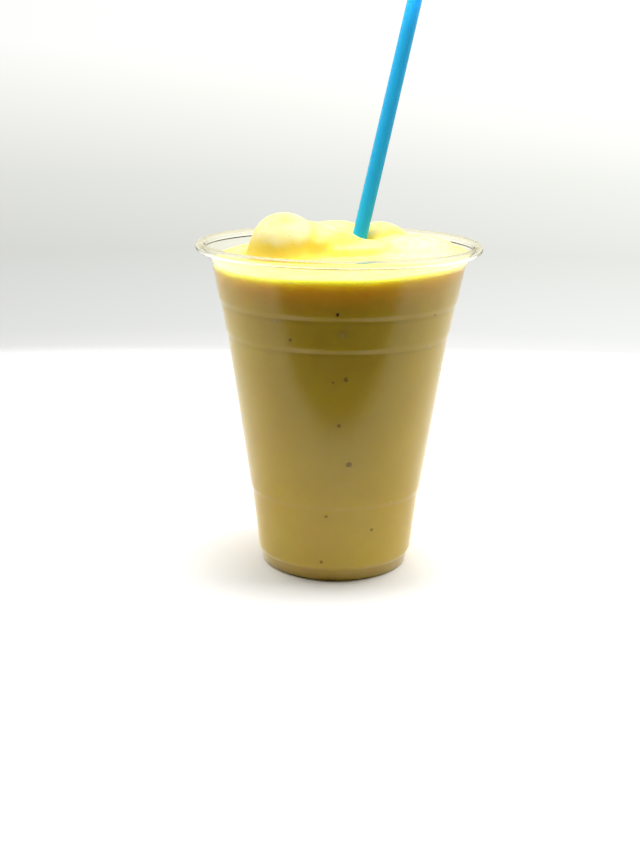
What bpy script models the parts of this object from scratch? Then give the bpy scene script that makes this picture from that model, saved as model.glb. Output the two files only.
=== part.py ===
"""Glass of smoothie: a clear cold-drink cup with a curled rim, filled with thick mango
smoothie that stands up in soft lumps over the rim, and a plain round drinking straw.

Metres, +Z up. The origin is the centre of the cup's foot, on the surface it stands on, and
the front of the drink faces -Y.
"""

import math

import bmesh
import bpy
from mathutils import Vector

MM = 0.001
TOUCH = 0.001 * MM

# Cup
FACETS = 56
RIM_RADIUS = 49.0 * MM
CUP_HEIGHT = 114.3 * MM
WALL = 0.45 * MM
CURL_RADIUS = 1.55 * MM
CURL_STEPS = 8
CURL_TURN = math.radians(300)
# The raised middle of the base, from the axis out to the ring that the cup stands on: radius
# and height.
BASE = (
    (0.0, 2.4 * MM),
    (18.3 * MM, 2.2 * MM),
    (22.6 * MM, 0.45 * MM),
    (23.4 * MM, 0.0),
)
FOOT_RADIUS = 25.8 * MM
FOOT_CORNER = 0.6 * MM
# The top of the foot's side, which steps out to the wall: radius and height.
FOOT_STEP = (
    (26.55 * MM, 4.2 * MM),
    (27.3 * MM, 5.1 * MM),
)
# Each straight stretch of wall, from the foot up: height and radius where it starts and ends.
# Between two stretches the wall steps out by the small ledge that shows as a ring.
WALL_STRETCHES = (
    (5.6 * MM, 27.45 * MM, 27.1 * MM, 30.12 * MM),
    (28.3 * MM, 30.42 * MM, 83.0 * MM, 38.50 * MM),
    (84.4 * MM, 38.85 * MM, 94.0 * MM, 40.70 * MM),
    (95.3 * MM, 41.08 * MM, 107.4 * MM, 43.50 * MM),
)
# The neck that flares out from the wall to the rim: radius and height.
NECK = (
    (44.3 * MM, 108.7 * MM),
    (45.3 * MM, 109.9 * MM),
    (46.0 * MM, 111.2 * MM),
    (46.3 * MM, 112.2 * MM),
)

# Smoothie
GAP = 0.3 * MM
FILL_LEVEL = 109.2 * MM
FILL_RISE_RIGHT = 1.4 * MM
FILL_RISE_BACK = 2.1 * MM
DOME_RISE = 2.4 * MM
SIDE_TOP = 104.5 * MM
SIDE_RINGS = 5
SURFACE_RINGS = 22
# How wide the rounded valley between two lumps is.
LUMP_BLEND = 1.1 * MM
SMOOTHING_PASSES = 2
# Each lump of the mound: centre x, y, half widths x, y, turn in degrees, height of its top, and
# how blunt its back is, where 0.5 is an ellipsoid and less is flatter on top.
LUMPS = (
    (-18.5 * MM, -1.5 * MM, 13.0 * MM, 15.0 * MM, 12, 124.0 * MM, 0.48),
    (-10.5 * MM, 1.5 * MM, 14.0 * MM, 14.5 * MM, 0, 120.8 * MM, 0.45),
    (-1.0 * MM, 25.0 * MM, 15.0 * MM, 11.0 * MM, -8, 118.6 * MM, 0.55),
    (15.5 * MM, 23.0 * MM, 11.0 * MM, 9.5 * MM, 15, 118.6 * MM, 0.55),
    (-3.0 * MM, 3.0 * MM, 11.5 * MM, 14.0 * MM, 0, 117.8 * MM, 0.4),
    (1.5 * MM, 0.5 * MM, 15.5 * MM, 13.0 * MM, 0, 114.8 * MM, 0.18),
    (26.0 * MM, 7.5 * MM, 15.5 * MM, 16.0 * MM, -10, 115.8 * MM, 0.5),
)

# Straw
STRAW_RADIUS = 2.65 * MM
STRAW_WALL = 0.3 * MM
STRAW_LENGTH = 203.0 * MM
STRAW_FACETS = 24
# Where the straw's axis ends in the drink, and how far it goes right and back for each metre up.
STRAW_LOW_END = Vector((-16.65, -16.28, 9.0)) * MM
STRAW_LEAN = Vector((0.2282, 0.28, 1.0))


def new_material(name, colour, roughness, alpha=1.0):
    """A Principled material with the part's colour, roughness and clearness."""
    material = bpy.data.materials.new(name)
    material.use_nodes = True
    shader = material.node_tree.nodes["Principled BSDF"]
    shader.inputs["Base Color"].default_value = (*colour, 1.0)
    shader.inputs["Roughness"].default_value = roughness
    shader.inputs["Metallic"].default_value = 0.0
    shader.inputs["Alpha"].default_value = alpha
    material.diffuse_color = (*colour, alpha)
    return material


def add_object(name, mesh, material=None):
    """A named object for a finished mesh, shaded smooth where its faces meet at a low angle."""
    mesh.shade_smooth()
    mesh.set_sharp_from_angle(angle=math.radians(35))
    if material:
        mesh.materials.append(material)
    made = bpy.data.objects.new(name, mesh)
    bpy.context.scene.collection.objects.link(made)
    return made


def spin_profile(bm, points, facets):
    """Turns a profile of (radius, height) points once round Z, and closes it on the axis."""
    verts = [bm.verts.new((radius, 0.0, height)) for radius, height in points]
    edges = [bm.edges.new(pair) for pair in zip(verts, verts[1:])]
    bmesh.ops.spin(
        bm,
        geom=verts + edges,
        cent=(0, 0, 0),
        axis=(0, 0, 1),
        angle=math.tau,
        steps=facets,
        use_merge=True,
    )
    bmesh.ops.remove_doubles(bm, verts=bm.verts, dist=TOUCH)
    bmesh.ops.recalc_face_normals(bm, faces=bm.faces)


def to_mesh(bm, name):
    """Turns a finished bmesh into a named mesh."""
    mesh = bpy.data.meshes.new(name)
    bm.to_mesh(mesh)
    bm.free()
    return mesh


def arc(centre, radius, start, turn, steps):
    """Points on an arc that begins at angle start and turns through turn, in the profile's plane."""
    return [
        (
            centre[0] + radius * math.cos(start + turn * step / steps),
            centre[1] + radius * math.sin(start + turn * step / steps),
        )
        for step in range(steps + 1)
    ]


def base_points():
    """The underside, from the axis out to the rounded corner of the foot."""
    centre = (FOOT_RADIUS - FOOT_CORNER, FOOT_CORNER)
    corner = arc(centre, FOOT_CORNER, math.radians(-90), math.radians(75), 2)
    return list(BASE) + corner


def wall_points():
    """The ends of the wall's straight stretches, from the foot up."""
    points = []
    for low, low_radius, high, high_radius in WALL_STRETCHES:
        points += [(low_radius, low), (high_radius, high)]
    return points


def rim_points():
    """The rim, which curls outwards and down with the wall's inner face on its outside."""
    centre = (RIM_RADIUS - CURL_RADIUS, CUP_HEIGHT - CURL_RADIUS)
    return arc(centre, CURL_RADIUS - WALL, math.radians(180), -CURL_TURN, CURL_STEPS)


def body_outline():
    """The cup's outer face below its rim, from the axis up to the top of the neck."""
    return base_points() + list(FOOT_STEP) + wall_points() + list(NECK)


def inset(points, depth):
    """The same open outline moved by depth to its inner side, each corner on its bisector."""
    moved = []
    for index, (radius, height) in enumerate(points):
        before = Vector(points[max(index - 1, 0)])
        after = Vector(points[min(index + 1, len(points) - 1)])
        here = Vector((radius, height))
        into = (here - before).normalized() if index else (after - here).normalized()
        out = (after - here).normalized() if index < len(points) - 1 else into
        side = Vector((-into.y - out.y, into.x + out.x)).normalized()
        stretch = 1.0 / max(side.dot(Vector((-into.y, into.x))), 0.5)
        moved.append(tuple(here + side * depth * stretch))
    moved[0] = (0.0, points[0][1] + depth)
    return moved


def make_cup(material):
    """One sheet of clear plastic, from the base up to the end of the curl, turned round Z."""
    outline = body_outline() + rim_points()
    bm = bmesh.new()
    spin_profile(bm, outline + inset(outline, WALL)[::-1], FACETS)
    return add_object("cup", to_mesh(bm, "cup"), material)


def radius_at(outline, height):
    """Radius of an outline's rising part at a height."""
    for (low_radius, low), (high_radius, high) in zip(outline, outline[1:]):
        if low <= height <= high:
            return low_radius + (high_radius - low_radius) * (height - low) / (high - low)
    raise ValueError(f"the outline doesn't reach a height of {height:.4f} m")


def level_at_wall(angle):
    """Height where the smoothie meets the wall, a little more at the right and the back."""
    return FILL_LEVEL + FILL_RISE_RIGHT * math.cos(angle) + FILL_RISE_BACK * math.sin(angle)


def lump_height(lump, x, y, foot):
    """Height of one lump's rounded back over the point x, y, or foot where it isn't there."""
    centre_x, centre_y, half_x, half_y, turn, top, bluntness = lump
    angle = math.radians(turn)
    along = (x - centre_x) * math.cos(angle) + (y - centre_y) * math.sin(angle)
    across = (y - centre_y) * math.cos(angle) - (x - centre_x) * math.sin(angle)
    reach = (along / half_x) ** 2 + (across / half_y) ** 2
    return foot + (top - foot) * max(0.0, 1.0 - reach) ** bluntness


def smooth_max(first, second, blend):
    """The larger of two heights, with the corner between them rounded."""
    share = max(0.0, min(1.0, 0.5 + 0.5 * (first - second) / blend))
    return second + (first - second) * share + blend * share * (1.0 - share)


def surface_height(angle, radius, share):
    """Height of the mound at a radius that is share of the way from the axis to the wall."""
    x = radius * math.cos(angle)
    y = radius * math.sin(angle)
    height = FILL_LEVEL + (level_at_wall(angle) - FILL_LEVEL) * share
    height += DOME_RISE * (1.0 - share**2)
    foot = height - LUMP_BLEND
    for lump in LUMPS:
        height = smooth_max(height, lump_height(lump, x, y, foot), LUMP_BLEND)
    return height


def shape_top(bm, inner):
    """Moves the flat top's points to the mound, and the side's last rings to its edge."""
    flat_edge = radius_at(inner, FILL_LEVEL)
    surface = []
    for vert in bm.verts:
        radius = vert.co.xy.length
        angle = math.atan2(vert.co.y, vert.co.x)
        level = level_at_wall(angle)
        if vert.co.z < SIDE_TOP + TOUCH:
            continue
        if radius > radius_at(inner, vert.co.z) - TOUCH:
            climb = (vert.co.z - SIDE_TOP) / (FILL_LEVEL - SIDE_TOP)
            height = SIDE_TOP + climb * (level - SIDE_TOP)
            radius = radius_at(inner, height)
        else:
            share = radius / flat_edge
            radius = share * radius_at(inner, level)
            height = surface_height(angle, radius, share)
            surface.append(vert)
        vert.co = (radius * math.cos(angle), radius * math.sin(angle), height)
    for _ in range(SMOOTHING_PASSES):
        bmesh.ops.smooth_vert(
            bm, verts=surface, factor=0.5, use_axis_x=True, use_axis_y=True, use_axis_z=True
        )


def make_smoothie(material):
    """Spins the fill, a gap inside the cup, with a flat top that is then shaped."""
    inner = inset(body_outline(), WALL + GAP)
    side = [point for point in inner if point[1] < SIDE_TOP]
    for ring in range(SIDE_RINGS + 1):
        height = SIDE_TOP + (FILL_LEVEL - SIDE_TOP) * ring / SIDE_RINGS
        side.append((radius_at(inner, height), height))
    edge = side[-1][0]
    flat_top = [(edge * ring / SURFACE_RINGS, FILL_LEVEL) for ring in range(SURFACE_RINGS)]
    bm = bmesh.new()
    spin_profile(bm, side + flat_top[::-1], FACETS)
    shape_top(bm, inner)
    return add_object("smoothie", to_mesh(bm, "smoothie"), material)


def tube_outline(outer, inner, low, high):
    """The closed section of a round tube, as (radius, height) points."""
    return [(outer, low), (outer, high), (inner, high), (inner, low), (outer, low)]


def make_tube(name, outer, inner, low, high, material=None):
    """A round tube along the straw's line, measured from the straw's low end."""
    bm = bmesh.new()
    spin_profile(bm, tube_outline(outer, inner, low, high), STRAW_FACETS)
    made = add_object(name, to_mesh(bm, name), material)
    made.location = STRAW_LOW_END
    made.rotation_mode = "QUATERNION"
    made.rotation_quaternion = STRAW_LEAN.to_track_quat("Z", "Y")
    return made


def cut_round_straw(smoothie):
    """Leaves room for the straw's wall, and the drink that stands inside the straw."""
    inner = STRAW_RADIUS - STRAW_WALL - GAP
    cutter = make_tube("straw_room", STRAW_RADIUS + GAP, inner, -GAP, STRAW_LENGTH)
    cutter.hide_render = True
    cutter.display_type = "WIRE"
    cut = smoothie.modifiers.new("straw_room", "BOOLEAN")
    cut.operation = "DIFFERENCE"
    cut.object = cutter
    cut.solver = "EXACT"


def main():
    """Clears the scene and makes the cup, the smoothie and the straw."""
    for old in list(bpy.data.objects):
        bpy.data.objects.remove(old)
    clear_plastic = new_material("clear_plastic", (0.93, 0.95, 0.94), 0.05, 0.3)
    mango_smoothie = new_material("mango_smoothie", (0.93, 0.66, 0.17), 0.35)
    blue_plastic = new_material("blue_plastic", (0.01, 0.42, 0.72), 0.25)
    make_cup(clear_plastic)
    smoothie = make_smoothie(mango_smoothie)
    cut_round_straw(smoothie)
    inner = STRAW_RADIUS - STRAW_WALL
    make_tube("straw", STRAW_RADIUS, inner, 0.0, STRAW_LENGTH, blue_plastic)


main()
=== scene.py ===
"""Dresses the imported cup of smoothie: clear plastic, thick drink, straw and a pale stage."""

import math
import random

import bmesh
import bpy
from bpy.props import FloatProperty, FloatVectorProperty, IntProperty, PointerProperty
from mathutils import Matrix, Vector, kdtree, noise


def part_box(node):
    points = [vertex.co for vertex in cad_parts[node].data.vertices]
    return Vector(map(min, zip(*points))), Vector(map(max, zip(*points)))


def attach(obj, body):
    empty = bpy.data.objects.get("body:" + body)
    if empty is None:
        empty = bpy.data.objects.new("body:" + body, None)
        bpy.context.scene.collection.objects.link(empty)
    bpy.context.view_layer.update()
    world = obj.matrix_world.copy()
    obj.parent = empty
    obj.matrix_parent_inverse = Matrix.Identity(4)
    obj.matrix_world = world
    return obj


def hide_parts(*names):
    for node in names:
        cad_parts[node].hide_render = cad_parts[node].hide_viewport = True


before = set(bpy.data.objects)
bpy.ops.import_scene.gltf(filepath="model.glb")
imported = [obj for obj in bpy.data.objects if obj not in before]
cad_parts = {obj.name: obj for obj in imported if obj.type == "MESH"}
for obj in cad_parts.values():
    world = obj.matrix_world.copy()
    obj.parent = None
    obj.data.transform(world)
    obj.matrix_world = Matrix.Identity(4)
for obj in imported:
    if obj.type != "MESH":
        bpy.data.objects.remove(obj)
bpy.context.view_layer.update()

bl_info = {
    "name": "Cup of Smoothie",
    "version": (1, 0, 0),
    "blender": (4, 5, 0),
    "location": "3D View > Sidebar > Smoothie",
    "description": "Models a clear cup of thick smoothie with its straw, and a stage to show it on",
    "category": "Object",
}

MM = 0.001
# Points nearer than this are one point, and heights nearer than this are one height.
TOUCH = 0.001 * MM
BODY = "root"
# Edges that turn by more than this show as sharp.
SHARP_FROM = math.radians(35)

# The cup's outer face, from the axis up: radius and height.
BASE = (
    (0.0, 2.4 * MM),
    (18.3 * MM, 2.2 * MM),
    (22.6 * MM, 0.45 * MM),
    (23.4 * MM, 0.0),
)
FOOT_RADIUS = 25.8 * MM
FOOT_CORNER = 0.6 * MM
FOOT_CORNER_TURN = math.radians(75)
FOOT_CORNER_STEPS = 5
FOOT_STEP = (
    (26.55 * MM, 4.2 * MM),
    (27.3 * MM, 5.1 * MM),
)
# Each straight stretch of wall: height and radius where it starts and ends.
WALL_STRETCHES = (
    (5.6 * MM, 27.45 * MM, 27.1 * MM, 30.12 * MM),
    (28.3 * MM, 30.42 * MM, 83.0 * MM, 38.50 * MM),
    (84.4 * MM, 38.85 * MM, 94.0 * MM, 40.70 * MM),
    (95.3 * MM, 41.08 * MM, 107.4 * MM, 43.50 * MM),
)
NECK = (
    (44.3 * MM, 108.7 * MM),
    (45.3 * MM, 109.9 * MM),
    (46.0 * MM, 111.2 * MM),
    (46.3 * MM, 112.2 * MM),
)
CURL_STEPS = 20
CURL_TURN = math.radians(300)
# How far the rim stays inside the box of the CAD.
RIM_CLEAR = 0.01 * MM
# The fine groove under each ledge, how far the ledge stands out over it, and how far the ledge
# reaches up and down past the step between two stretches.
GROOVE = 0.18 * MM
LEDGE_LIP = 0.06 * MM
LEDGE_SPREAD = 0.15 * MM
# Corners of the wall that turn by more than this are rounded.
CORNER_FROM = math.radians(3)
CORNER_SEGMENTS = 3
# Between these heights the wall has ledges to round.
LEDGE_HEIGHTS = (3.5 * MM, 110.5 * MM)

# The smoothie's side, and the height where it meets the wall.
SIDE_TOP = 104.5 * MM
SIDE_RINGS = 16
# How far under the meeting line the drink's side is still pale.
BRIM_FADE = 2.2 * MM
# How much higher the drink meets the wall at the right and at the back, and how unevenly.
FILL_RISE_RIGHT = 1.4 * MM
FILL_RISE_BACK = 1.7 * MM
FILL_WANDER = 0.35 * MM
WANDER_WAVES = 2.5
DOME_RISE = 2.4 * MM
LUMP_BLEND = 1.1 * MM
SMOOTHING_PASSES = 9
# Each lump of the mound: centre x, y, half widths x, y, turn in degrees, height of its top, and
# how blunt its back is, where 0.5 is an ellipsoid and less is flatter on top.
LUMPS = (
    (-18.5 * MM, -1.5 * MM, 13.0 * MM, 15.0 * MM, 12, 124.0 * MM, 0.48),
    (-10.5 * MM, 1.5 * MM, 14.0 * MM, 14.5 * MM, 0, 120.8 * MM, 0.45),
    (-1.0 * MM, 25.0 * MM, 15.0 * MM, 11.0 * MM, -8, 118.6 * MM, 0.55),
    (15.5 * MM, 23.0 * MM, 11.0 * MM, 9.5 * MM, 15, 118.6 * MM, 0.55),
    (-3.0 * MM, 3.0 * MM, 11.5 * MM, 14.0 * MM, 0, 117.8 * MM, 0.4),
    (1.5 * MM, 0.5 * MM, 15.5 * MM, 13.0 * MM, 0, 114.8 * MM, 0.18),
    (26.0 * MM, 7.5 * MM, 15.5 * MM, 16.0 * MM, -10, 115.8 * MM, 0.5),
)
# Soft folds and fine froth on the mound: size of one wave and how high it stands.
RIPPLES = (
    (9.0 * MM, 0.45 * MM),
    (3.2 * MM, 0.16 * MM),
    (1.1 * MM, 0.05 * MM),
)
# They fade out this near to the wall, and the wall is only reckoned with up to this height.
CALM_EDGE = 3.0 * MM
CALM_UP_TO = 111.2 * MM
# Faces of the drink that look up by more than this have the froth of the surface, partly real froth
# and partly painted light from above; steeper faces keep the deeper colour as painted shade.
FACES_UP_FROM = 0.25
# Index of refraction of the drink behind the wall and on top, and how rough its froth is.
WALL_GLOSS = 1.12
SURFACE_GLOSS = 1.36
FROTH_BUMP = 0.35
# Where the wall's ledges and foot lighten and shade the drink behind them, and how much.
LIT_LEDGE = 27.9 * MM
LIT_SHARE = 0.06
SHADED_LEDGES = (93.2 * MM, 82.3 * MM)
SHADED_SHARE = 0.09
LEDGE_MARK = 0.9 * MM
FOOT_BAND = (4.4 * MM, 5.2 * MM)
FOOT_SHARE = 0.11
# Painted reflection of the floor: the drink in the cup is a little duller the lower it stands, and
# more so near its foot: heights between which that fades out, and how much it is.
LOW_PAINTED_REFLECTION = (
    ((5 * MM, 105 * MM), 0.15),
    ((3 * MM, 8 * MM), 0.18),
)
# How much of the froth's colour the drink has right under its edge.
BRIM_SHARE = 0.9
# Painted shade in the folds: the froth's colour gives way to the deeper colour between these depths
# in a fold, and this much of it is gone there.
FOLD_SHADE_DEPTHS = (-1.2, 0.5)
FOLD_SHADE_SHARE = 0.82
# How deep light goes into the frothy surface, as a share of what it does in the drink.
FROTH_SOAKING = 0.25
# The wet patch, smoother and painted pale as a painted sheen: its middle, the distances between
# which it fades, how strong the painted sheen is and how much smoother.
WET_SHEEN_PLACE = Vector((32.0, -8.0, 112.0)) * MM
WET_SHEEN_REACH = (4 * MM, 24 * MM)
PAINTED_SHEEN_SHARE = 0.42
WET_SMOOTHER = 0.16
# How far round a point its depth in a fold is measured, and the depth of a full fold.
FOLD_REACH = 3.5 * MM
FOLD_DEPTH = 1.2 * MM

# Straw: where its axis ends in the drink, and how far it goes right and back for each metre up.
STRAW_LOW_END = Vector((-16.65, -16.28, 9.0)) * MM
STRAW_LEAN = Vector((0.2282, 0.28, 1.0))
STRAW_LENGTH = 203.0 * MM
STRAW_STEPS = 48
STRAW_RINGS = 12
STRAW_LIP = 0.08 * MM
# Edges that turn by more than this are an end of the straw.
END_FROM = math.radians(60)
# The smoothie's hollow where the straw goes in: how wide and how deep.
DIMPLE_WIDTH = 3.0 * MM
DIMPLE_DEPTH = 0.7 * MM

# Specks against the wall that face the camera: turn to the right of the front in degrees, height,
# half width, half height, and 1 for a dark one or 0 for a faint one.
FRONT_SPECKS = (
    (-0.7, 96.4 * MM, 0.50 * MM, 0.50 * MM, 1),
    (-23.5, 87.1 * MM, 0.45 * MM, 0.50 * MM, 0),
    (3.8, 74.5 * MM, 0.55 * MM, 0.80 * MM, 0),
    (-2.6, 73.4 * MM, 0.35 * MM, 0.35 * MM, 0),
    (0.8, 58.4 * MM, 0.60 * MM, 0.62 * MM, 0),
    (7.1, 44.4 * MM, 1.00 * MM, 0.85 * MM, 0),
    (-6.4, 25.0 * MM, 0.55 * MM, 0.52 * MM, 0),
    (25.4, 19.3 * MM, 0.52 * MM, 0.52 * MM, 0),
    (-10.0, 7.7 * MM, 0.60 * MM, 0.55 * MM, 0),
    (51.3, 93.9 * MM, 0.36 * MM, 0.36 * MM, 1),
)
# Bubbles against the wall that face the camera: turn, height, radius.
FRONT_BUBBLES = (
    (1.7, 89.7 * MM, 1.10 * MM),
    (52.0, 82.8 * MM, 0.55 * MM),
    (38.3, 28.7 * MM, 0.35 * MM),
    (11.4, 8.6 * MM, 0.32 * MM),
    (-31.0, 93.0 * MM, 0.30 * MM),
)
# How far a speck and a bubble stand out of the smoothie, into the wall.
SPECK_PROUD = 0.10 * MM
BUBBLE_PROUD = 0.14 * MM
# Bubbles with a larger radius than this are fainter.
LARGE_BUBBLE = 0.7 * MM
# The rest of the wall gets the same kinds of marks at places drawn with a fixed seed.
MARK_SEED = 7
MORE_SPECKS = 22
DARK_SHARE = 0.2
SPECK_HALF_WIDTHS = (0.25 * MM, 0.65 * MM)
SPECK_STRETCHES = (0.8, 1.25)
MORE_BUBBLES = 14
BUBBLE_RADII = (0.2 * MM, 0.6 * MM)
MARK_HEIGHTS = (8.0 * MM, 100.0 * MM)
BACK_TURNS = (70, 290)
# How uneven a speck and a bubble are, the unevenness's waves, and how far apart in it two
# specks or two bubbles lie.
SPECK_UNEVEN = 0.5
BUBBLE_UNEVEN = 0.12
UNEVEN_WAVES = 1.6
SPECK_STRIDE = 3.7
BUBBLE_STRIDE = 5.1
# Painted light: colours of a bubble, paler than the drink in place of the light its air pocket
# reflects, and of its paler patches.
SMALL_BUBBLE_SHEEN = ((0.90, 0.74, 0.22), (0.92, 0.80, 0.42))
LARGE_BUBBLE_SHEEN = ((0.86, 0.64, 0.06), (0.90, 0.74, 0.20))

# The camera, and the floor's reach.
CAMERA_PLACE = Vector((-5.72, -434.7, 169.2)) * MM
CAMERA_PITCH = math.radians(74.48)
CAMERA_ROLL = math.radians(0.72)
CAMERA_LENS_MM = 53.51
CAMERA_SENSOR_MM = 36.0
FLOOR_REACH = 1.5
FLOOR_CELLS = 8
FLOOR_DROP = 0.02 * MM
# The floor that the camera sees fades into the background between these distances.
FLOOR_FADE = (0.32, 0.37)
# The floor that the cup mirrors ends at this line in front of it, over this much blur.
MIRRORED_END = -118.0 * MM
END_BLUR = 21.0 * MM
# How much of its colour the floor gives to what mirrors it, and to matt surfaces near it.
FLOOR_MIRRORED = 0.85
FLOOR_BOUNCED = 0.95
# The floor's extra glow round the foot, and the distances from the axis where it fades out.
FOOT_GLOW = 0.5
FOOT_GLOW_REACH = (20.0 * MM, 75.0 * MM)
# The floor is this much brighter at the right, from the first of these places to the second.
SUNNY_SIDE = 1.25
SUNNY_REACH = (-10 * MM, 60 * MM)
# The background from low to high: a place on the ramp and its colour. The ramp's place 0 is at
# the first number of BACKDROP_SPAN, as a direction's height, and place 1 at the second.
BACKDROP_SPAN = (-0.30, 0.10)
BACKDROP = (
    (0.17, (1.03, 1.03, 1.02)),
    (0.27, (0.80, 0.81, 0.79)),
    (0.42, (0.72, 0.73, 0.70)),
    (0.56, (0.80, 0.81, 0.77)),
    (0.72, (0.97, 0.97, 0.93)),
    (0.80, (1.04, 1.04, 1.02)),
)
BACKDROP_STRENGTH = 1.045
BRIGHTER_TO_RIGHT = 0.4
# How the background seen through the cup is brightened and warmed as painted light from the drink,
# what the light that the rim bends up shows instead, and between which directions the one gives way
# to the other.
THROUGH_CUP = (1.26, 1.235, 1.12)
THROUGH_RIM = (0.82, 0.79, 0.60)
RIM_BENDS = (-0.12, 0.04)
# How strong the soft light is from around and behind, from overhead, and from everywhere: first
# on matt surfaces, then in what mirrors it.
LIT_BY = (0.38, 0.60, 0.01)
MIRRORED_FROM = (0.60, 0.35, 0.02)
# Directions, upwards and backwards, between which the light from overhead sets in.
OVERHEAD_UP = (0.0, 0.9)
OVERHEAD_BACK = (-0.3, 0.5)
# What is mirrored from low down: directions between which it sets in, and how strong it is.
MIRRORED_LOW = (
    ((-0.62, -0.50), 0.28),
    ((-0.45, -0.10), 0.18),
)
# Tints of the soft light: on matt surfaces, in what mirrors it, and in what mirrors it from
# above, with the directions between which the last takes over.
LIT_TINT = (1.0, 1.0, 0.98)
MIRRORED_TINT = (1.0, 0.97, 0.86)
RIM_TINT = (1.0, 0.94, 0.66)
RIM_TINT_REACH = (-0.1, 0.15)
LAMP_PLACE = Vector((30.0, 25.0, 600.0)) * MM
LAMP_SIZE = (0.65, 0.27)


class CupSettings(bpy.types.PropertyGroup):
    """Sizes and colour of the clear cup."""

    rim_radius: FloatProperty(
        name="Rim Radius",
        description="Outer radius of the rolled rim",
        default=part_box("cup")[1].x - RIM_CLEAR,
        min=30 * MM,
        unit="LENGTH",
    )
    height: FloatProperty(
        name="Height",
        description="Height of the cup to the top of its rim",
        default=114.3 * MM,
        min=50 * MM,
        unit="LENGTH",
    )
    wall: FloatProperty(
        name="Wall",
        description="Thickness of the plastic",
        default=0.45 * MM,
        min=0.2 * MM,
        unit="LENGTH",
    )
    curl_radius: FloatProperty(
        name="Rim Roll",
        description="Outer radius of the roll that makes the rim",
        default=1.55 * MM,
        min=0.8 * MM,
        unit="LENGTH",
    )
    corner: FloatProperty(
        name="Corner Rounding",
        description="How far the wall's small ledges are rounded",
        default=0.3 * MM,
        min=0.05 * MM,
        unit="LENGTH",
    )
    steps: IntProperty(
        name="Steps",
        description="Faces round the cup",
        default=192,
        min=48,
    )
    plastic: FloatVectorProperty(
        name="Plastic",
        description="Tint of the clear plastic",
        default=(0.985, 0.99, 0.985),
        subtype="COLOR",
        min=0.0,
        max=1.0,
    )


class SmoothieSettings(bpy.types.PropertyGroup):
    """Sizes and colours of the drink."""

    level: FloatProperty(
        name="Fill Level",
        description="Mean height where the drink meets the wall",
        default=109.2 * MM,
        min=105 * MM,
        max=110 * MM,
        unit="LENGTH",
    )
    bite: FloatProperty(
        name="Reach into Wall",
        description="How far the drink reaches into the plastic, so that no air shows between them",
        default=0.08 * MM,
        min=0.01 * MM,
        unit="LENGTH",
    )
    rings: IntProperty(
        name="Surface Rings",
        description="Rings of faces from the middle of the mound to the wall",
        default=88,
        min=20,
    )
    flesh: FloatVectorProperty(
        name="Mango",
        description="Main colour of the smoothie",
        default=(0.88, 0.65, 0.012),
        subtype="COLOR",
        min=0.0,
        max=1.0,
    )
    pale: FloatVectorProperty(
        name="Milky Swirls",
        description="Colour of the paler, milkier swirls",
        default=(0.91, 0.71, 0.035),
        subtype="COLOR",
        min=0.0,
        max=1.0,
    )
    # Painted sheen: a pale colour laid on the wet patch by the wall in place of its highlight.
    painted_sheen: FloatVectorProperty(
        name="Milk",
        description="Colour of the wet, milky patch by the wall",
        default=(0.93, 0.90, 0.66),
        subtype="COLOR",
        min=0.0,
        max=1.0,
    )
    # Partly painted light: the froth is real, but its pale colour on faces that look up also stands
    # for light from above.
    froth: FloatVectorProperty(
        name="Froth",
        description="Colour of the pale froth on top of the mound",
        default=(0.93, 0.86, 0.50),
        subtype="COLOR",
        min=0.0,
        max=1.0,
    )
    # Painted light: mixed in as a painted reflection of the floor towards the foot, and as the
    # painted highlight at the lit ledge.
    painted_light: FloatVectorProperty(
        name="Settled",
        description="Colour that the drink takes on a little of towards its foot",
        default=(0.90, 0.64, 0.50),
        subtype="COLOR",
        min=0.0,
        max=1.0,
    )
    shade: FloatVectorProperty(
        name="Shaded",
        description="Colour of the drink behind the foot and under the ledges",
        default=(0.30, 0.21, 0.015),
        subtype="COLOR",
        min=0.0,
        max=1.0,
    )
    deep: FloatVectorProperty(
        name="Pulp",
        description="Colour of the fine shreds of pulp",
        default=(0.80, 0.50, 0.01),
        subtype="COLOR",
        min=0.0,
        max=1.0,
    )
    soaking: FloatProperty(
        name="Light Depth",
        description="How far light soaks into the drink",
        default=6.4 * MM,
        min=0.2 * MM,
        unit="LENGTH",
    )
    speck: FloatVectorProperty(
        name="Dark Specks",
        description="Colour of the few dark specks",
        default=(0.030, 0.014, 0.004),
        subtype="COLOR",
        min=0.0,
        max=1.0,
    )
    faint_speck: FloatVectorProperty(
        name="Faint Specks",
        description="Colour of the brown specks that are half sunk",
        default=(0.46, 0.28, 0.02),
        subtype="COLOR",
        min=0.0,
        max=1.0,
    )


class StrawSettings(bpy.types.PropertyGroup):
    """Sizes and colour of the straw."""

    radius: FloatProperty(
        name="Radius",
        description="Outer radius of the straw",
        default=2.65 * MM,
        min=1.5 * MM,
        unit="LENGTH",
    )
    wall: FloatProperty(
        name="Wall",
        description="Thickness of the straw's wall",
        default=0.3 * MM,
        min=0.1 * MM,
        unit="LENGTH",
    )
    plastic: FloatVectorProperty(
        name="Plastic",
        description="Colour of the straw",
        default=(0.022, 0.43, 0.98),
        subtype="COLOR",
        min=0.0,
        max=1.0,
    )


class StageSettings(bpy.types.PropertyGroup):
    """Floor and light."""

    floor: FloatVectorProperty(
        name="Floor",
        description="Colour of the floor",
        default=(0.95, 0.95, 0.94),
        subtype="COLOR",
        min=0.0,
        max=1.0,
    )
    lamp_power: FloatProperty(
        name="Lamp Power",
        description="Strength of the soft lamp overhead",
        default=6.5,
        min=0.0,
        unit="POWER",
    )


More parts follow.
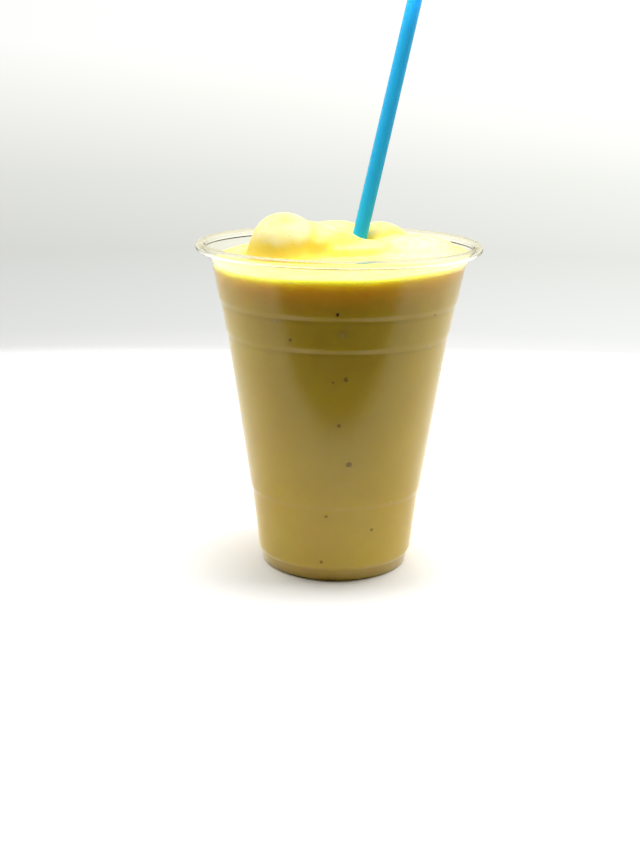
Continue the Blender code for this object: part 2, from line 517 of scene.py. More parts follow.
class Builder:
    """Adds nodes to a material's or a world's tree."""

    def __init__(self, tree):
        self.tree = tree
        self.tree.nodes.clear()

    def add(self, kind, settings=None, inputs=None):
        """Adds a node: first its settings, then the values or links of its sockets."""
        node = self.tree.nodes.new(kind)
        for name, value in (settings or {}).items():
            if name == "stops":
                self.set_stops(node.color_ramp, value)
            else:
                setattr(node, name, value)
        for name, value in (inputs or {}).items():
            self.feed(node.inputs[name], value)
        return node

    @staticmethod
    def set_stops(ramp, stops):
        """Gives a colour ramp its stops, each a place and a colour."""
        while len(ramp.elements) < len(stops):
            ramp.elements.new(0.5)
        for element, (place, colour) in zip(ramp.elements, stops):
            element.position = place
            element.color = (*colour, 1.0)

    def feed(self, socket, value):
        """Links a socket, or sets its value. A colour may come without its alpha."""
        if isinstance(value, Amount):
            value = value.socket
        if isinstance(value, bpy.types.NodeSocket):
            self.tree.links.new(value, socket)
        elif socket.type == "RGBA":
            socket.default_value = (*value[:3], 1.0)
        else:
            socket.default_value = value

    def amount(self, kind, settings=None, inputs=None, output=0):
        """Adds a node and returns one of its outputs as a number to reckon with."""
        return Amount(self, self.add(kind, settings, inputs).outputs[output])

    def mix(self, share, first, second):
        """A colour that goes from first to second as share goes from 0 to 1."""
        node = self.add("ShaderNodeMix", {"data_type": "RGBA"})
        self.feed(node.inputs["Factor"], share)
        self.feed(node.inputs[6], first)
        self.feed(node.inputs[7], second)
        return node.outputs[2]


class Amount:
    """A number that varies over a surface. Arithmetic on it adds Math nodes."""

    def __init__(self, builder, socket):
        self.builder = builder
        self.socket = socket

    def reckon(self, operation, *terms):
        """Adds one Math node."""
        inputs = dict(enumerate(terms))
        return self.builder.amount("ShaderNodeMath", {"operation": operation}, inputs)

    def __add__(self, other):
        return self.reckon("ADD", self, other)

    def __radd__(self, other):
        return self.reckon("ADD", other, self)

    def __sub__(self, other):
        return self.reckon("SUBTRACT", self, other)

    def __rsub__(self, other):
        return self.reckon("SUBTRACT", other, self)

    def __mul__(self, other):
        return self.reckon("MULTIPLY", self, other)

    def __rmul__(self, other):
        return self.reckon("MULTIPLY", other, self)

    def __pow__(self, other):
        return self.reckon("POWER", self, other)

    def ramp(self, low, high):
        """0 below low, 1 above high, and a soft step in between."""
        settings = {"interpolation_type": "SMOOTHSTEP"}
        return self.builder.amount("ShaderNodeMapRange", settings, {0: self, 1: low, 2: high})


def new_finish(name):
    """A new node material and the builder that fills its tree."""
    material = bpy.data.materials.new(name)
    material.use_nodes = True
    return material, Builder(material.node_tree)


def finish_surface(builder, shader):
    """Ends a material's tree in its output."""
    builder.add("ShaderNodeOutputMaterial", None, {"Surface": shader.outputs[0]})


def object_noise(builder, place, wave, detail=2.0, roughness=0.5):
    """Noise whose waves are about as long as wave."""
    inputs = {"Vector": place, "Scale": 1.0 / wave, "Detail": detail, "Roughness": roughness}
    return builder.amount("ShaderNodeTexNoise", None, inputs)


def band(amount, middle, half):
    """1 where an amount is at middle, falling softly to 0 at half away from it."""
    away = amount - middle
    return 1.0 - away.reckon("ABSOLUTE", away).ramp(half * 0.3, half)


def clear_plastic(colour):
    """Thin clear plastic, a little uneven from its moulding. Lamps shine through it."""
    material, builder = new_finish("clear_plastic")
    place = builder.add("ShaderNodeTexCoord").outputs["Object"]
    unevenness = object_noise(builder, place, 14 * MM, 1.0)
    haze = object_noise(builder, place, 5 * MM, 3.0, 0.6)
    bump = builder.add(
        "ShaderNodeBump", None, {"Strength": 0.25, "Distance": 0.25 * MM, "Height": unevenness}
    )
    plastic = builder.add(
        "ShaderNodeBsdfPrincipled",
        None,
        {
            "Base Color": colour,
            "Roughness": 0.03 + haze.ramp(0.45, 0.75) * 0.05,
            "IOR": 1.47,
            "Transmission Weight": 1.0,
            "Normal": bump.outputs[0],
        },
    )
    open_way = builder.add("ShaderNodeBsdfTransparent", None, {"Color": (0.93, 0.93, 0.92)})
    light_path = builder.add("ShaderNodeLightPath")
    mixed = builder.add(
        "ShaderNodeMixShader",
        None,
        {0: light_path.outputs["Is Shadow Ray"], 1: plastic.outputs[0], 2: open_way.outputs[0]},
    )
    finish_surface(builder, mixed)
    return material


def ray_history(builder):
    """The ray's nodes, and 1 or 0 for whether it has bounced off matt and off shiny surfaces."""
    path = builder.add("ShaderNodeLightPath").outputs
    matt = Amount(builder, path["Diffuse Depth"]).ramp(0.0, 1.0)
    shiny = Amount(builder, path["Glossy Depth"]).ramp(0.0, 1.0)
    return path, matt, shiny


def surface_colour(builder, place, drink, colour):
    """Adds froth to the lumps, less in folds as painted shade, and a painted sheen. Also returns
    how wet its patch is.
    """
    fold = builder.amount("ShaderNodeAttribute", {"attribute_name": "fold"}, None, "Fac")
    # Painted shade: folds lose the pale froth, so the creases show the deeper colour.
    colour = builder.mix(1.0 - fold.ramp(*FOLD_SHADE_DEPTHS) * FOLD_SHADE_SHARE, colour, drink.froth)
    settings = {"operation": "DISTANCE"}
    away = builder.amount("ShaderNodeVectorMath", settings, {0: place, 1: WET_SHEEN_PLACE}, "Value")
    wet = 1.0 - away.ramp(*WET_SHEEN_REACH)
    # Painted sheen: the patch is painted paler where its highlight falls; only its smoothness is
    # real.
    return builder.mix(wet * PAINTED_SHEEN_SHARE, colour, drink.painted_sheen), wet


def wall_colour(builder, place, drink, colour):
    """Pales the drink under its edge, dulls it towards its foot as a painted floor reflection, and
    paints light and shade at the ledges and foot.
    """
    brim = builder.amount("ShaderNodeAttribute", {"attribute_name": "brim"}, None, "Fac")
    colour = builder.mix(brim.ramp(0.0, 1.0) * BRIM_SHARE, colour, drink.froth)
    parts = builder.add("ShaderNodeSeparateXYZ", None, {0: place})
    up = Amount(builder, parts.outputs["Z"])
    # Painted reflection of the floor lower down, and a painted highlight at one ledge.
    painted_light = sum((1.0 - up.ramp(*reach)) * share for reach, share in LOW_PAINTED_REFLECTION)
    lit = band(up, LIT_LEDGE, LEDGE_MARK) * LIT_SHARE
    colour = builder.mix(painted_light + lit, colour, drink.painted_light)
    shaded = sum(band(up, height, LEDGE_MARK) for height in SHADED_LEDGES)
    foot = 1.0 - up.ramp(*FOOT_BAND)
    return builder.mix(shaded * SHADED_SHARE + foot * FOOT_SHARE, colour, drink.shade)


def smoothie_finish(name, drink, gloss, froth):
    """Thick fruit smoothie that light soaks into: milky swirls, fine shreds and froth."""
    material, builder = new_finish(name)
    place = builder.add("ShaderNodeTexCoord").outputs["Object"]
    swirls = object_noise(builder, place, 22 * MM, 3.0, 0.55).ramp(0.40, 0.68)
    cloud = object_noise(builder, place, 4.5 * MM, 4.0, 0.6).ramp(0.35, 0.75)
    lying = builder.add("ShaderNodeMapping", None, {"Vector": place, "Scale": (1.0, 1.0, 2.2)})
    shreds = object_noise(builder, lying.outputs[0], 1.1 * MM, 2.0, 0.6).ramp(0.60, 0.74)
    colour = builder.mix(swirls * 0.45 + cloud * 0.30, drink.flesh, drink.pale)
    roughness = 0.34 + cloud * 0.12
    if froth:
        colour, wet = surface_colour(builder, place, drink, colour)
        roughness = roughness - wet * WET_SMOOTHER
    else:
        colour = wall_colour(builder, place, drink, colour)
    colour = builder.mix(shreds * 0.45, colour, drink.deep)
    inputs = {
        "Base Color": colour,
        "Roughness": roughness,
        "IOR": gloss,
        "Subsurface Weight": 1.0,
        "Subsurface Radius": (0.95, 1.05, 0.05),
        "Subsurface Scale": drink.soaking * (FROTH_SOAKING if froth else 1.0),
    }
    if froth:
        fine = object_noise(builder, place, 0.7 * MM, 3.0, 0.65)
        coarse = object_noise(builder, place, 3.0 * MM, 3.0, 0.55)
        bump = builder.add(
            "ShaderNodeBump",
            None,
            {"Strength": froth, "Distance": 0.2 * MM, "Height": coarse * 0.7 + fine * 0.3},
        )
        inputs["Normal"] = bump.outputs[0]
    finish_surface(builder, builder.add("ShaderNodeBsdfPrincipled", None, inputs))
    return material


def speck_finish(name, colour, light):
    """A bit of fruit skin, or a bubble painted pale, with paler patches."""
    material, builder = new_finish(name)
    place = builder.add("ShaderNodeTexCoord").outputs["Object"]
    patches = object_noise(builder, place, 0.6 * MM, 2.0).ramp(0.40, 0.70)
    shader = builder.add(
        "ShaderNodeBsdfPrincipled",
        None,
        {
            "Base Color": builder.mix(patches * 0.6, colour, light),
            "Roughness": 0.45 + patches * 0.2,
            "IOR": 1.1,
        },
    )
    finish_surface(builder, shader)
    return material


def straw_finish(colour):
    """Milky coloured plastic, drawn out lengthways."""
    material, builder = new_finish("blue_plastic")
    place = builder.add("ShaderNodeTexCoord").outputs["Object"]
    upright = STRAW_LEAN.to_track_quat("Z", "Y").inverted().to_euler()
    along = builder.add("ShaderNodeMapping", None, {"Vector": place, "Rotation": upright})
    drawn = builder.add(
        "ShaderNodeMapping", None, {"Vector": along.outputs[0], "Scale": (1.0, 1.0, 0.03)}
    )
    streaks = object_noise(builder, drawn.outputs[0], 0.7 * MM, 2.0)
    cloud = object_noise(builder, place, 9 * MM, 2.0)
    lighter = tuple(min(1.0, channel * 1.15) for channel in colour)
    bump = builder.add(
        "ShaderNodeBump", None, {"Strength": 0.12, "Distance": 0.03 * MM, "Height": streaks}
    )
    shader = builder.add(
        "ShaderNodeBsdfPrincipled",
        None,
        {
            "Base Color": builder.mix(streaks * 0.4 + cloud * 0.3, colour, lighter),
            "Roughness": 0.20 + streaks * 0.12,
            "IOR": 1.3,
            "Subsurface Weight": 0.6,
            "Subsurface Radius": (0.3, 0.8, 1.0),
            "Subsurface Scale": 1.2 * MM,
            "Normal": bump.outputs[0],
        },
    )
    finish_surface(builder, shader)
    return material


def add_piece(name, bm, node, slot, *materials):
    """Turns a finished bmesh into a named piece that rides on the cup and stands for a CAD node."""
    mesh = bpy.data.meshes.new(name)
    bm.to_mesh(mesh)
    bm.free()
    for material in materials:
        mesh.materials.append(material)
    mesh.shade_smooth()
    mesh.set_sharp_from_angle(angle=SHARP_FROM)
    piece = bpy.data.objects.new(name, mesh)
    bpy.context.scene.collection.objects.link(piece)
    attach(piece, BODY)
    if node:
        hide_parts(node)
    return piece


def arc(centre, radius, start, turn, steps):
    """Points on an arc in the profile's plane, from angle start on through turn."""
    return [
        (
            centre[0] + radius * math.cos(start + turn * step / steps),
            centre[1] + radius * math.sin(start + turn * step / steps),
        )
        for step in range(steps + 1)
    ]


def body_outline():
    """The cup's outer face below its rim, from the axis up to the top of the neck."""
    corner = (FOOT_RADIUS - FOOT_CORNER, FOOT_CORNER)
    start = math.radians(-90)
    points = list(BASE)
    points += arc(corner, FOOT_CORNER, start, FOOT_CORNER_TURN, FOOT_CORNER_STEPS)
    points += FOOT_STEP
    for low, low_radius, high, high_radius in WALL_STRETCHES:
        points += [
            (low_radius + LEDGE_LIP, low + LEDGE_SPREAD),
            (high_radius - GROOVE, high - LEDGE_SPREAD),
        ]
    return points + list(NECK)


def rim_outline(cup):
    """The rim, which rolls outwards and down with the wall's inner face on its outside."""
    centre = (cup.rim_radius - cup.curl_radius, cup.height - cup.curl_radius)
    radius = cup.curl_radius - cup.wall
    return arc(centre, radius, math.radians(180), -CURL_TURN, CURL_STEPS)


def spun_sheet(points, steps):
    """Turns a profile of (radius, height) points once round Z into a sheet that faces outwards."""
    bm = bmesh.new()
    verts = [bm.verts.new((radius, 0.0, height)) for radius, height in points]
    edges = [bm.edges.new(pair) for pair in zip(verts, verts[1:])]
    bmesh.ops.spin(
        bm,
        geom=verts + edges,
        cent=(0, 0, 0),
        axis=(0, 0, 1),
        angle=math.tau,
        steps=steps,
        use_merge=True,
    )
    bmesh.ops.remove_doubles(bm, verts=bm.verts, dist=TOUCH)
    bmesh.ops.recalc_face_normals(bm, faces=bm.faces)
    return bm


def round_ledges(bm, width):
    """Rounds the corners of the wall's ledges, which run round the cup."""
    low, high = LEDGE_HEIGHTS
    corners = [
        edge
        for edge in bm.edges
        if abs(edge.verts[0].co.z - edge.verts[1].co.z) < TOUCH
        and low < edge.verts[0].co.z < high
        and edge.calc_face_angle(0.0) > CORNER_FROM
    ]
    bmesh.ops.bevel(
        bm,
        geom=corners,
        offset=width,
        offset_type="OFFSET",
        affect="EDGES",
        segments=CORNER_SEGMENTS,
        profile=0.5,
        clamp_overlap=True,
        material=-1,
    )


def inset(points, depth):
    """The same open outline moved by depth to its inner side, each corner on its bisector."""
    moved = []
    for index, (radius, height) in enumerate(points):
        before = Vector(points[max(index - 1, 0)])
        after = Vector(points[min(index + 1, len(points) - 1)])
        here = Vector((radius, height))
        into = (here - before).normalized() if index else (after - here).normalized()
        out = (after - here).normalized() if index < len(points) - 1 else into
        side = Vector((-into.y - out.y, into.x + out.x)).normalized()
        stretch = 1.0 / max(side.dot(Vector((-into.y, into.x))), 0.5)
        moved.append(tuple(here + side * depth * stretch))
    moved[0] = (0.0, points[0][1] + depth)
    return moved


def radius_at(outline, height):
    """Radius of an outline's rising part at a height."""
    for (low_radius, low), (high_radius, high) in zip(outline, outline[1:]):
        if low <= height <= high:
            return low_radius + (high_radius - low_radius) * (height - low) / (high - low)
    raise ValueError(f"the outline doesn't reach a height of {height:.4f} m")


def level_at_wall(level, angle):
    """Height where the smoothie meets the wall, a little more at the right and the back."""
    wander = noise.noise(Vector((math.cos(angle), math.sin(angle), 0.0)) * WANDER_WAVES)
    tilt = FILL_RISE_RIGHT * math.cos(angle) + FILL_RISE_BACK * math.sin(angle)
    return level + tilt + FILL_WANDER * wander


def lump_height(lump, x, y, foot):
    """Height of one lump's rounded back over the point x, y, or foot where it isn't there."""
    centre_x, centre_y, half_x, half_y, turn, top, bluntness = lump
    angle = math.radians(turn)
    along = (x - centre_x) * math.cos(angle) + (y - centre_y) * math.sin(angle)
    across = (y - centre_y) * math.cos(angle) - (x - centre_x) * math.sin(angle)
    reach = (along / half_x) ** 2 + (across / half_y) ** 2
    return foot + (top - foot) * max(0.0, 1.0 - reach) ** bluntness


def smooth_max(first, second, blend):
    """The larger of two heights, with the corner between them rounded."""
    share = max(0.0, min(1.0, 0.5 + 0.5 * (first - second) / blend))
    return second + (first - second) * share + blend * share * (1.0 - share)


def surface_height(level, angle, radius, share):
    """Height of the mound at a radius that is share of the way from the axis to the wall."""
    x = radius * math.cos(angle)
    y = radius * math.sin(angle)
    height = level + (level_at_wall(level, angle) - level) * share
    height += DOME_RISE * (1.0 - share**2)
    foot = height - LUMP_BLEND
    for lump in LUMPS:
        height = smooth_max(height, lump_height(lump, x, y, foot), LUMP_BLEND)
    return height


def straw_axis_at(height):
    """Where the straw's axis passes a height."""
    return STRAW_LOW_END + STRAW_LEAN * (height - STRAW_LOW_END.z)


def shape_top(bm, inner, level):
    """Moves the flat top's points to the mound, and the side's last rings to its edge."""
    flat_edge = radius_at(inner, level)
    brim = bm.verts.layers.float["brim"]
    surface = []
    for vert in bm.verts:
        if vert.co.z < SIDE_TOP + TOUCH:
            continue
        radius = vert.co.xy.length
        angle = math.atan2(vert.co.y, vert.co.x)
        meeting = level_at_wall(level, angle)
        if radius > radius_at(inner, vert.co.z) - TOUCH:
            height = SIDE_TOP + (vert.co.z - SIDE_TOP) / (level - SIDE_TOP) * (meeting - SIDE_TOP)
            radius = radius_at(inner, height)
            vert[brim] = max(0.0, 1.0 - (meeting - height) / BRIM_FADE)
        else:
            share = radius / flat_edge
            radius = share * radius_at(inner, meeting)
            height = surface_height(level, angle, radius, share)
            surface.append(vert)
        vert.co = (radius * math.cos(angle), radius * math.sin(angle), height)
    for _ in range(SMOOTHING_PASSES):
        bmesh.ops.smooth_vert(
            bm, verts=surface, factor=0.5, use_axis_x=True, use_axis_y=True, use_axis_z=True
        )
    return surface


def ripple_top(surface, inner):
    """Adds soft folds and froth to the mound, and the hollow where the straw goes in."""
    outwards = {vert: vert.normal.copy() for vert in surface}
    for vert in surface:
        room = radius_at(inner, min(vert.co.z, CALM_UP_TO)) - vert.co.xy.length
        calm = max(0.0, min(1.0, room / CALM_EDGE))
        height = sum(noise.noise(vert.co / wave) * rise for wave, rise in RIPPLES)
        from_straw = (vert.co.xy - straw_axis_at(vert.co.z).xy).length
        dip = DIMPLE_DEPTH * math.exp(-((from_straw / DIMPLE_WIDTH) ** 2) / 2)
        vert.co += outwards[vert] * calm * (height - dip)


def mark_folds(bm, surface):
    """Notes on each point of the mound how far it lies below the points round it."""
    fold = bm.verts.layers.float["fold"]
    tree = kdtree.KDTree(len(surface))
    for index, vert in enumerate(surface):
        tree.insert((vert.co.x, vert.co.y, 0.0), index)
    tree.balance()
    for vert in surface:
        near = tree.find_range((vert.co.x, vert.co.y, 0.0), FOLD_REACH)
        mean = sum(surface[index].co.z for _, index, _ in near) / len(near)
        vert[fold] = (mean - vert.co.z) / FOLD_DEPTH


def tube(outer, inner, low, high, rings, lip):
    """A round tube along the straw's line, its ends rounded by lip, measured from its low end."""
    heights = [low + (high - low) * ring / rings for ring in range(rings + 1)]
    outside = [(outer, height) for height in heights]
    inside = [(inner, height) for height in heights[::-1]]
    bm = spun_sheet(outside + inside + outside[:1], STRAW_STEPS)
    if lip:
        ends = [
            edge
            for edge in bm.edges
            if abs(edge.verts[0].co.z - edge.verts[1].co.z) < TOUCH
            and edge.calc_face_angle(0.0) > END_FROM
        ]
        bmesh.ops.bevel(
            bm, geom=ends, offset=lip, affect="EDGES", segments=2, profile=0.5, material=-1
        )
    turn = STRAW_LEAN.to_track_quat("Z", "Y").to_matrix().to_4x4()
    bmesh.ops.transform(bm, matrix=Matrix.Translation(STRAW_LOW_END) @ turn, verts=bm.verts)
    return bm


def cut_round_straw(piece, straw, bite):
    """Cuts the drink round the straw's wall, and lets it reach just into that wall."""
    bm = tube(straw.radius - bite, straw.radius - straw.wall + bite, bite, STRAW_LENGTH, 1, 0.0)
    mesh = bpy.data.meshes.new("straw_room")
    bm.to_mesh(mesh)
    bm.free()
    cutter = bpy.data.objects.new("straw_room", mesh)
    bpy.context.scene.collection.objects.link(cutter)
    cut = piece.modifiers.new("straw_room", "BOOLEAN")
    cut.operation = "DIFFERENCE"
    cut.object = cutter
    cut.solver = "EXACT"
    depsgraph = bpy.context.evaluated_depsgraph_get()
    whole = piece.data
    piece.data = bpy.data.meshes.new_from_object(piece.evaluated_get(depsgraph))
    piece.modifiers.clear()
    piece.data.name = piece.name
    bpy.data.meshes.remove(whole)
    bpy.data.objects.remove(cutter)


def blob(bm, place, outwards, size, seed, uneven):
    """A small flattened lump at a point of the wall, half sunk in the drink, and its faces."""
    made = bmesh.ops.create_icosphere(bm, subdivisions=3, radius=1.0)
    for vert in made["verts"]:
        vert.co *= 1.0 + uneven * noise.noise(vert.co * UNEVEN_WAVES + Vector((seed, 0.0, 0.0)))
    turn = outwards.to_track_quat("Z", "Y").to_matrix().to_4x4()
    move = Matrix.Translation(place) @ turn @ Matrix.Diagonal((*size, 1.0))
    bmesh.ops.transform(bm, matrix=move, verts=made["verts"])
    return {face for vert in made["verts"] for face in vert.link_faces}


def wall_point(inner, turn, height):
    """A point on the drink's side, turn degrees to the right of the front, and the way out."""
    angle = math.radians(turn)
    radius = radius_at(inner, height)
    ahead = radius_at(inner, height + 1 * MM) - radius
    outwards = Vector((math.sin(angle), -math.cos(angle), -ahead / MM)).normalized()
    return Vector((radius * math.sin(angle), -radius * math.cos(angle), height)), outwards


def side_outline(cup, drink):
    """The outline of the drink's side, which reaches just into the plastic."""
    return inset(body_outline(), cup.wall - drink.bite)


class SMOOTHIE_OT_make_cup(bpy.types.Operator):
    """Models the clear cup with its ringed wall, rolled rim and raised base"""

    bl_idname = "smoothie.make_cup"
    bl_label = "Make Cup"

    def execute(self, context):
        cup = context.scene.smoothie_cup
        outline = body_outline() + rim_outline(cup)
        bm = spun_sheet(outline + inset(outline, cup.wall)[::-1], cup.steps)
        round_ledges(bm, cup.corner)
        add_piece("clear_cup", bm, "cup", "clear_plastic", clear_plastic(cup.plastic))
        return {"FINISHED"}


class SMOOTHIE_OT_make_drink(bpy.types.Operator):
    """Fills the cup with smoothie that stands up in soft lumps over the rim"""

    bl_idname = "smoothie.make_drink"
    bl_label = "Make Smoothie"

    def execute(self, context):
        cup = context.scene.smoothie_cup
        drink = context.scene.smoothie_drink
        inner = side_outline(cup, drink)
        side = [point for point in inner if point[1] < SIDE_TOP]
        for ring in range(SIDE_RINGS + 1):
            height = SIDE_TOP + (drink.level - SIDE_TOP) * ring / SIDE_RINGS
            side.append((radius_at(inner, height), height))
        edge = side[-1][0]
        flat_top = [(edge * ring / drink.rings, drink.level) for ring in range(drink.rings)]
        bm = spun_sheet(side + flat_top[::-1], cup.steps)
        bm.verts.layers.float.new("fold")
        bm.verts.layers.float.new("brim")
        round_ledges(bm, cup.corner)
        surface = shape_top(bm, inner, drink.level)
        bm.normal_update()
        ripple_top(surface, inner)
        mark_folds(bm, surface)
        # Painted light and shade: faces that look up take the pale froth finish, steeper ones the
        # side's deeper finish.
        for face in bm.faces:
            high = face.calc_center_median().z > SIDE_TOP
            face.material_index = int(high and face.normal.z > FACES_UP_FROM)
        at_wall = smoothie_finish("smoothie_at_wall", drink, WALL_GLOSS, 0.0)
        on_top = smoothie_finish("smoothie_surface", drink, SURFACE_GLOSS, FROTH_BUMP)
        piece = add_piece("smoothie_fill", bm, "smoothie", "mango_smoothie", at_wall, on_top)
        cut_round_straw(piece, context.scene.smoothie_straw, drink.bite)
        return {"FINISHED"}


class SMOOTHIE_OT_make_marks(bpy.types.Operator):
    """Adds the specks and the small bubbles that show through the wall"""

    bl_idname = "smoothie.make_marks"
    bl_label = "Make Specks and Bubbles"

    def execute(self, context):
        drink = context.scene.smoothie_drink
        inner = side_outline(context.scene.smoothie_cup, drink)
        draw = random.Random(MARK_SEED)
        specks = list(FRONT_SPECKS)
        for _ in range(MORE_SPECKS):
            half_width = draw.uniform(*SPECK_HALF_WIDTHS)
            half_height = half_width * draw.uniform(*SPECK_STRETCHES)
            turn = draw.uniform(*BACK_TURNS)
            height = draw.uniform(*MARK_HEIGHTS)
            dark = draw.random() < DARK_SHARE
            specks.append((turn, height, half_width, half_height, dark))
        bm = bmesh.new()
        for number, (turn, height, half_width, half_height, dark) in enumerate(specks):
            place, outwards = wall_point(inner, turn, height)
            size = (half_width, half_height, SPECK_PROUD)
            for face in blob(bm, place, outwards, size, number * SPECK_STRIDE, SPECK_UNEVEN):
                face.material_index = 0 if dark else 1
        dark_finish = speck_finish("dark_speck", drink.speck, drink.faint_speck)
        faint_finish = speck_finish("faint_speck", drink.faint_speck, drink.deep)
        add_piece("specks", bm, None, "mango_smoothie", dark_finish, faint_finish)

        bubbles = list(FRONT_BUBBLES)
        for _ in range(MORE_BUBBLES):
            turn = draw.uniform(*BACK_TURNS)
            height = draw.uniform(*MARK_HEIGHTS)
            bubbles.append((turn, height, draw.uniform(*BUBBLE_RADII)))
        bm = bmesh.new()
        for number, (turn, height, radius) in enumerate(bubbles):
            place, outwards = wall_point(inner, turn, height)
            size = (radius, radius, BUBBLE_PROUD)
            for face in blob(bm, place, outwards, size, number * BUBBLE_STRIDE, BUBBLE_UNEVEN):
                face.material_index = int(radius > LARGE_BUBBLE)
        # Painted light: the bubbles are pale blobs, not air, so their paleness stands for reflected
        # light.
        small_finish = speck_finish("bubble_sheen", *SMALL_BUBBLE_SHEEN)
        large_finish = speck_finish("large_bubble", *LARGE_BUBBLE_SHEEN)
        add_piece("wall_bubbles", bm, None, "mango_smoothie", small_finish, large_finish)
        return {"FINISHED"}


class SMOOTHIE_OT_make_straw(bpy.types.Operator):
    """Models the plain round straw that leans in the drink"""

    bl_idname = "smoothie.make_straw"
    bl_label = "Make Straw"

    def execute(self, context):
        straw = context.scene.smoothie_straw
        inner = straw.radius - straw.wall
        bm = tube(straw.radius, inner, 0.0, STRAW_LENGTH, STRAW_RINGS, STRAW_LIP)
        add_piece("drinking_straw", bm, "straw", "blue_plastic", straw_finish(straw.plastic))
        return {"FINISHED"}


def scaled(builder, colour, strength):
    """A colour made stronger or weaker by an amount that varies."""
    inputs = {0: colour, "Scale": strength}
    return builder.add("ShaderNodeVectorMath", {"operation": "SCALE"}, inputs).outputs[0]


def floor_finish(colour):
    """Matt pale floor. It fades into the background for the camera and ends for what mirrors it."""
    material, builder = new_finish("pale_floor")
    place = builder.add("ShaderNodeTexCoord").outputs["Object"]
    parts = builder.add("ShaderNodeSeparateXYZ", None, {0: place})
    across = Amount(builder, parts.outputs["X"])
    back = Amount(builder, parts.outputs["Y"])
    reach = (across**4.0 + back**4.0) ** 0.25
    _, matt, shiny = ray_history(builder)
    straight = (1.0 - matt) * (1.0 - shiny)
    beyond = 1.0 - back.ramp(MIRRORED_END - END_BLUR, MIRRORED_END + END_BLUR)
    faded = reach.ramp(*FLOOR_FADE) * straight + beyond * (1.0 - straight)
    grain = object_noise(builder, place, 40 * MM, 2.0).ramp(0.3, 0.7)
    shade = tuple(channel * 0.985 for channel in colour)
    glow = 1.0 + (1.0 - reach.ramp(*FOOT_GLOW_REACH)) * FOOT_GLOW
    mirrored = scaled(builder, colour, glow * FLOOR_MIRRORED)
    dull = scaled(builder, colour, glow * FLOOR_BOUNCED)
    sunny = tuple(channel * SUNNY_SIDE for channel in colour)
    seen = builder.mix(across.ramp(*SUNNY_REACH), builder.mix(grain, colour, shade), sunny)
    seen = builder.mix(shiny, seen, mirrored)
    seen = builder.mix(matt, seen, dull)
    paint = builder.add("ShaderNodeBsdfDiffuse", None, {"Color": seen})
    gone = builder.add("ShaderNodeBsdfTransparent")
    sides = {0: faded, 1: paint.outputs[0], 2: gone.outputs[0]}
    shader = builder.add("ShaderNodeMixShader", None, sides)
    finish_surface(builder, shader)
    return material


def add_floor(material):
    """A flat square of floor, a hair under the cup's foot."""
    bm = bmesh.new()
    bmesh.ops.create_grid(bm, x_segments=FLOOR_CELLS, y_segments=FLOOR_CELLS, size=FLOOR_REACH)
    bmesh.ops.translate(bm, vec=(0.0, 0.0, -FLOOR_DROP), verts=bm.verts)
    mesh = bpy.data.meshes.new("floor")
    bm.to_mesh(mesh)
    bm.free()
    mesh.materials.append(material)
    floor = bpy.data.objects.new("floor", mesh)
    bpy.context.scene.collection.objects.link(floor)


def light_world():
    """A pale background, and soft light that is bright overhead and behind and dim in front."""
    world = bpy.data.worlds.new("studio")
    world.use_nodes = True
    bpy.context.scene.world = world
    builder = Builder(world.node_tree)
    direction = builder.add("ShaderNodeTexCoord").outputs["Generated"]
    parts = builder.add("ShaderNodeSeparateXYZ", None, {0: direction})
    up = Amount(builder, parts.outputs["Z"])
    across = Amount(builder, parts.outputs["X"])
    back = Amount(builder, parts.outputs["Y"])
    low, high = BACKDROP_SPAN
    place = (up - low) * (1.0 / (high - low))
    wall = builder.add("ShaderNodeValToRGB", {"stops": BACKDROP}, {0: place}).outputs[0]
    beside = across.reckon("ABSOLUTE", across)
    overhead = up.ramp(*OVERHEAD_UP) * back.ramp(*OVERHEAD_BACK)
    around = (back + beside * 0.8).ramp(0.0, 0.8)
    light = around * LIT_BY[0] + overhead * LIT_BY[1] + LIT_BY[2]
    backdrop = around * (1.0 - up.ramp(0.0, 0.3) * 0.6)
    mirrored = backdrop * MIRRORED_FROM[0] + overhead * MIRRORED_FROM[1] + MIRRORED_FROM[2]
    mirrored = mirrored + sum(up.ramp(*reach) * share for reach, share in MIRRORED_LOW)
    path, matt, shiny = ray_history(builder)
    direct = Amount(builder, path["Is Camera Ray"])
    through = Amount(builder, path["Is Transmission Ray"])
    straight = (direct + through) * ((1.0 - matt) * (1.0 - shiny))
    glow = light + (mirrored - light) * (shiny * (1.0 - matt))
    # Painted light: the background seen through the cup is brightened and warmed in place of light
    # from the drink.
    warming = {0: wall, 1: THROUGH_CUP}
    warmed = builder.add("ShaderNodeVectorMath", {"operation": "MULTIPLY"}, warming).outputs[0]
    bent = builder.mix(up.ramp(*RIM_BENDS), warmed, THROUGH_RIM)
    shown = builder.mix(through, wall, bent)
    strength = BACKDROP_STRENGTH + across * BRIGHTER_TO_RIGHT
    seen = builder.add("ShaderNodeBackground", None, {"Color": shown, "Strength": strength})
    mirror_tint = builder.mix(up.ramp(*RIM_TINT_REACH), MIRRORED_TINT, RIM_TINT)
    tint = builder.mix(shiny, LIT_TINT, mirror_tint)
    lit = builder.add("ShaderNodeBackground", None, {"Color": tint, "Strength": glow})
    sides = {0: straight, 1: lit.outputs[0], 2: seen.outputs[0]}
    mixed = builder.add("ShaderNodeMixShader", None, sides)
    builder.add("ShaderNodeOutputWorld", None, {"Surface": mixed.outputs[0]})


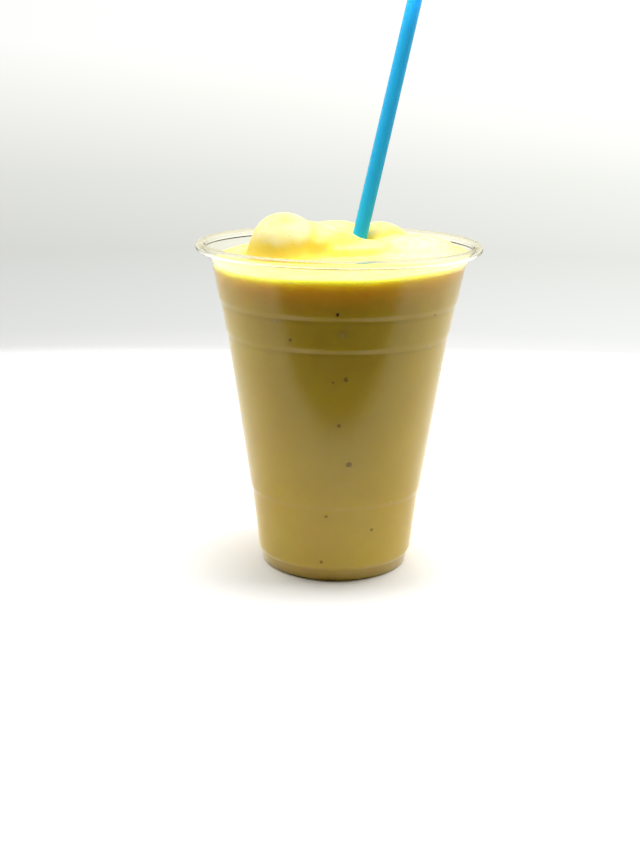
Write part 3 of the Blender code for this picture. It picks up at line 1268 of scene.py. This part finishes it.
class SMOOTHIE_OT_set_stage(bpy.types.Operator):
    """Lays the pale floor, and sets the soft light and the camera"""

    bl_idname = "smoothie.set_stage"
    bl_label = "Set Stage"

    def execute(self, context):
        stage = context.scene.smoothie_stage
        add_floor(floor_finish(stage.floor))
        light_world()

        lamp = bpy.data.lights.new("overhead_lamp", "AREA")
        lamp.shape = "RECTANGLE"
        lamp.size, lamp.size_y = LAMP_SIZE
        lamp.energy = stage.lamp_power
        lamp_object = bpy.data.objects.new("overhead_lamp", lamp)
        lamp_object.location = LAMP_PLACE
        lamp_object.visible_camera = False
        lamp_object.visible_glossy = False
        lamp_object.visible_transmission = False
        context.scene.collection.objects.link(lamp_object)

        camera = bpy.data.cameras.new("camera")
        camera.lens = CAMERA_LENS_MM
        camera.sensor_width = CAMERA_SENSOR_MM
        camera_object = bpy.data.objects.new("camera", camera)
        pitch = Matrix.Rotation(CAMERA_PITCH, 4, "X")
        roll = Matrix.Rotation(CAMERA_ROLL, 4, "Z")
        camera_object.matrix_world = Matrix.Translation(CAMERA_PLACE) @ pitch @ roll
        context.scene.collection.objects.link(camera_object)
        context.scene.camera = camera_object
        context.scene.view_settings.view_transform = "Standard"
        return {"FINISHED"}


OPERATORS = (
    SMOOTHIE_OT_make_cup,
    SMOOTHIE_OT_make_drink,
    SMOOTHIE_OT_make_marks,
    SMOOTHIE_OT_make_straw,
    SMOOTHIE_OT_set_stage,
)
SETTINGS = {
    "smoothie_cup": CupSettings,
    "smoothie_drink": SmoothieSettings,
    "smoothie_straw": StrawSettings,
    "smoothie_stage": StageSettings,
}


class SMOOTHIE_PT_panel(bpy.types.Panel):
    """Lists the settings and the steps of the cup of smoothie"""

    bl_idname = "SMOOTHIE_PT_panel"
    bl_label = "Cup of Smoothie"
    bl_space_type = "VIEW_3D"
    bl_region_type = "UI"
    bl_category = "Smoothie"

    def draw(self, context):
        layout = self.layout
        for name in SETTINGS:
            group = getattr(context.scene, name)
            box = layout.box()
            for field in type(group).__annotations__:
                box.prop(group, field)
        for operator in OPERATORS:
            layout.operator(operator.bl_idname)


def register():
    """Registers the settings, the operators and the panel."""
    for name, group in SETTINGS.items():
        bpy.utils.register_class(group)
        setattr(bpy.types.Scene, name, PointerProperty(type=group))
    for made in (*OPERATORS, SMOOTHIE_PT_panel):
        bpy.utils.register_class(made)


def unregister():
    """Takes them out again, last first."""
    for made in reversed((*OPERATORS, SMOOTHIE_PT_panel)):
        bpy.utils.unregister_class(made)
    for name, group in reversed(SETTINGS.items()):
        delattr(bpy.types.Scene, name)
        bpy.utils.unregister_class(group)


def main():
    """Makes every piece and the stage."""
    register()
    bpy.ops.smoothie.make_cup()
    bpy.ops.smoothie.make_drink()
    bpy.ops.smoothie.make_marks()
    bpy.ops.smoothie.make_straw()
    bpy.ops.smoothie.set_stage()


if __name__ == "__main__":
    main()
